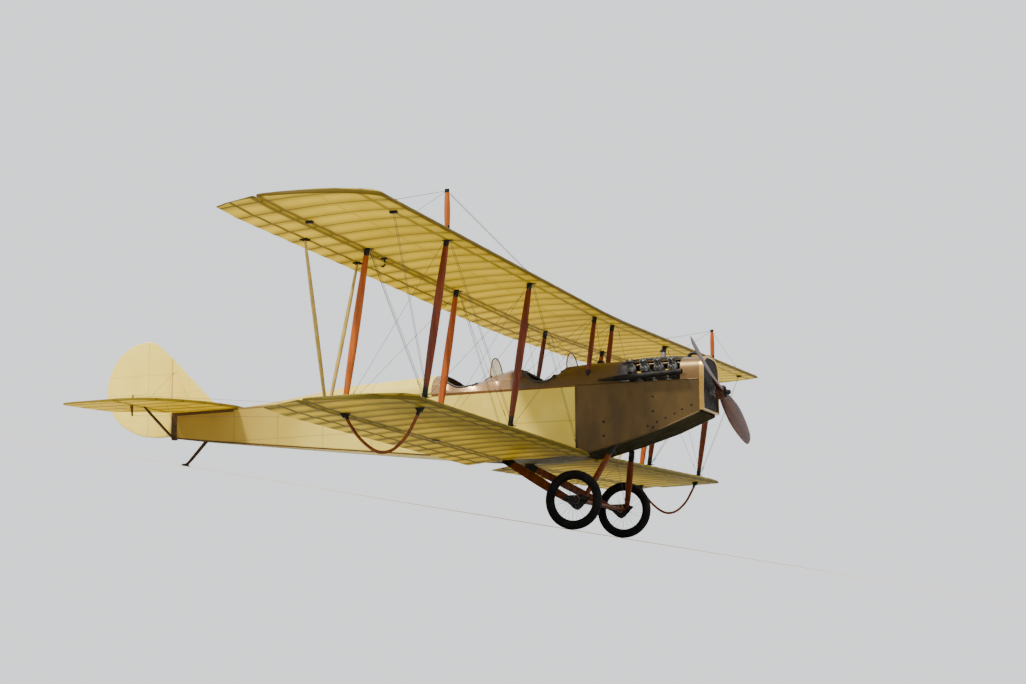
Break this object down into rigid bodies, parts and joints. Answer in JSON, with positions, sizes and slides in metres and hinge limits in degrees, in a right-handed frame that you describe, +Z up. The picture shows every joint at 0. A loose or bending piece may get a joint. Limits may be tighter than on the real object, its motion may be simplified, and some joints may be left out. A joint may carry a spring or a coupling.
{
  "type": "two-seat tractor biplane with inline cockpits",
  "caption": "Tandem-seat fabric-covered biplane with overhung upper wing, open engine bay, inline open cockpits, strut-linked ailerons, wire-spoked wheels and tail skid.",
  "frame": {"origin": "on the floor, under the centre of the bounding box, with the aeroplane parked on its two wheels and its tail skid", "axes": "+Z up, +X towards the nose, +Y to port; the airframe is pitched nose-up by 10.5 degrees about Y, as it parks"},
  "size_m": [8.2103, 13.29, 3.0154],
  "materials": {
    "linen": "clear-doped plain linen, satin",
    "pale_linen": "pale doped linen, satin",
    "mahogany": "varnished, glossy",
    "light_wood": "varnished plywood and spruce",
    "propeller_wood": "laminated and varnished",
    "bronzed_metal": "dark bronze brown, semi-gloss",
    "beige_metal": "glossy beige",
    "radiator_brass": "polished",
    "engine_metal": "cast, satin",
    "exhaust_iron": "heat blackened",
    "steel": "satin",
    "padding": "dark brown, worn satin",
    "rubber": "black, satin"
  },
  "bodies": {
    "airframe": {"upper_centre_section": "linen", "upper_wing_port": "linen", "upper_wing_starboard": "linen", "lower_wing_port": "linen", "lower_wing_starboard": "linen", "inner_struts_port": "mahogany", "inner_struts_starboard": "mahogany", "outer_struts_port": "mahogany", "outer_struts_starboard": "mahogany", "king_post_port": "mahogany", "king_post_starboard": "mahogany", "bow_skid_port": "light_wood", "bow_skid_starboard": "light_wood", "main_stays_port": "steel", "main_stays_starboard": "steel", "cowl_side_port": "bronzed_metal", "cowl_side_starboard": "bronzed_metal", "fuselage_side_port": "linen", "fuselage_side_starboard": "linen", "exhaust_port": "exhaust_iron", "exhaust_starboard": "exhaust_iron", "gear_leg_port": "light_wood", "gear_leg_starboard": "light_wood", "cowl_bottom": "bronzed_metal", "fuselage_floor": "linen", "rear_fuselage": "linen", "firewall": "steel", "front_deck": "bronzed_metal", "rear_deck": "beige_metal", "front_coaming": "padding", "rear_coaming": "padding", "front_windscreen": "beige_metal", "rear_windscreen": "beige_metal", "front_seat": "light_wood", "rear_seat": "light_wood", "control_sticks": "light_wood", "nose_hood": "beige_metal", "radiator": "radiator_brass", "engine": "engine_metal", "cabane": "mahogany", "axle": "light_wood", "tailplane": "linen", "fin": "pale_linen", "tail_braces": "mahogany", "tail_skid": "mahogany"},
    "propeller": {"propeller": "propeller_wood"},
    "rudder": {"rudder": "pale_linen"},
    "wheel_port": {"wheel_port": "steel", "tyre_port": "rubber"},
    "elevator_port": {"elevator_port": "linen"},
    "upper_aileron_port": {"upper_aileron_port": "linen"},
    "lower_aileron_port": {"lower_aileron_port": "linen"},
    "aileron_link_port": {"aileron_link_port": "light_wood"},
    "wheel_starboard": {"wheel_starboard": "steel", "tyre_starboard": "rubber"},
    "elevator_starboard": {"elevator_starboard": "linen"},
    "upper_aileron_starboard": {"upper_aileron_starboard": "linen"},
    "lower_aileron_starboard": {"lower_aileron_starboard": "linen"},
    "aileron_link_starboard": {"aileron_link_starboard": "light_wood"}
  },
  "joints": [
    {"name": "propeller_spin", "type": "hinge", "parent": "airframe", "child": "propeller", "pos_m": [3.9928, 0, 1.79918], "axis": [0.9833, 0, 0.1822], "continuous": true},
    {"name": "rudder_hinge", "type": "hinge", "parent": "airframe", "child": "rudder", "pos_m": [-3.12764, 0, 0.76319], "axis": [-0.1822, 0, 0.9833], "range_deg": [-28, 28]},
    {"name": "wheel_port_spin", "type": "hinge", "parent": "airframe", "child": "wheel_port", "pos_m": [2.766, 0.869, 0.33], "axis": [0, 1, 0], "continuous": true},
    {"name": "elevator_port_hinge", "type": "hinge", "parent": "airframe", "child": "elevator_port", "pos_m": [-3.10541, 0.69, 0.64323], "axis": [0, 1, 0], "range_deg": [-25, 25]},
    {"name": "upper_aileron_port_hinge", "type": "hinge", "parent": "airframe", "child": "upper_aileron_port", "pos_m": [1.53816, 4.2, 2.36287], "axis": [-0.0038, 0.9998, 0.0206], "range_deg": [-20, 20]},
    {"name": "lower_aileron_port_hinge", "type": "hinge", "parent": "airframe", "child": "lower_aileron_port", "pos_m": [1.59016, 4.2, 0.7489], "axis": [-0.0038, 0.9998, 0.0206], "range_deg": [-20, 20]},
    {"name": "aileron_link_port_eye", "type": "hinge", "parent": "upper_aileron_port", "child": "aileron_link_port", "pos_m": [1.29683, 4.631, 2.27481], "axis": [-0.0038, 0.9998, 0.0206], "range_deg": [-20, 20]},
    {"name": "wheel_starboard_spin", "type": "hinge", "parent": "airframe", "child": "wheel_starboard", "pos_m": [2.766, -0.869, 0.33], "axis": [0, 1, 0], "continuous": true},
    {"name": "elevator_starboard_hinge", "type": "hinge", "parent": "airframe", "child": "elevator_starboard", "pos_m": [-3.10541, -0.69, 0.64323], "axis": [0, 1, 0], "range_deg": [-25, 25]},
    {"name": "upper_aileron_starboard_hinge", "type": "hinge", "parent": "airframe", "child": "upper_aileron_starboard", "pos_m": [1.53816, -4.2, 2.36287], "axis": [0.0038, 0.9998, -0.0206], "range_deg": [-20, 20]},
    {"name": "lower_aileron_starboard_hinge", "type": "hinge", "parent": "airframe", "child": "lower_aileron_starboard", "pos_m": [1.59016, -4.2, 0.7489], "axis": [0.0038, 0.9998, -0.0206], "range_deg": [-20, 20]},
    {"name": "aileron_link_starboard_eye", "type": "hinge", "parent": "upper_aileron_starboard", "child": "aileron_link_starboard", "pos_m": [1.29683, -4.631, 2.27481], "axis": [0.0038, 0.9998, -0.0206], "range_deg": [-20, 20]}
  ],
  "couplings": [
    {"joint": "lower_aileron_port_hinge", "follows": "upper_aileron_port_hinge", "ratio": 1},
    {"joint": "upper_aileron_starboard_hinge", "follows": "upper_aileron_port_hinge", "ratio": -1},
    {"joint": "lower_aileron_starboard_hinge", "follows": "upper_aileron_port_hinge", "ratio": -1},
    {"joint": "aileron_link_port_eye", "follows": "upper_aileron_port_hinge", "ratio": -1},
    {"joint": "aileron_link_starboard_eye", "follows": "upper_aileron_port_hinge", "ratio": 1},
    {"joint": "elevator_starboard_hinge", "follows": "elevator_port_hinge", "ratio": 1}
  ]
}
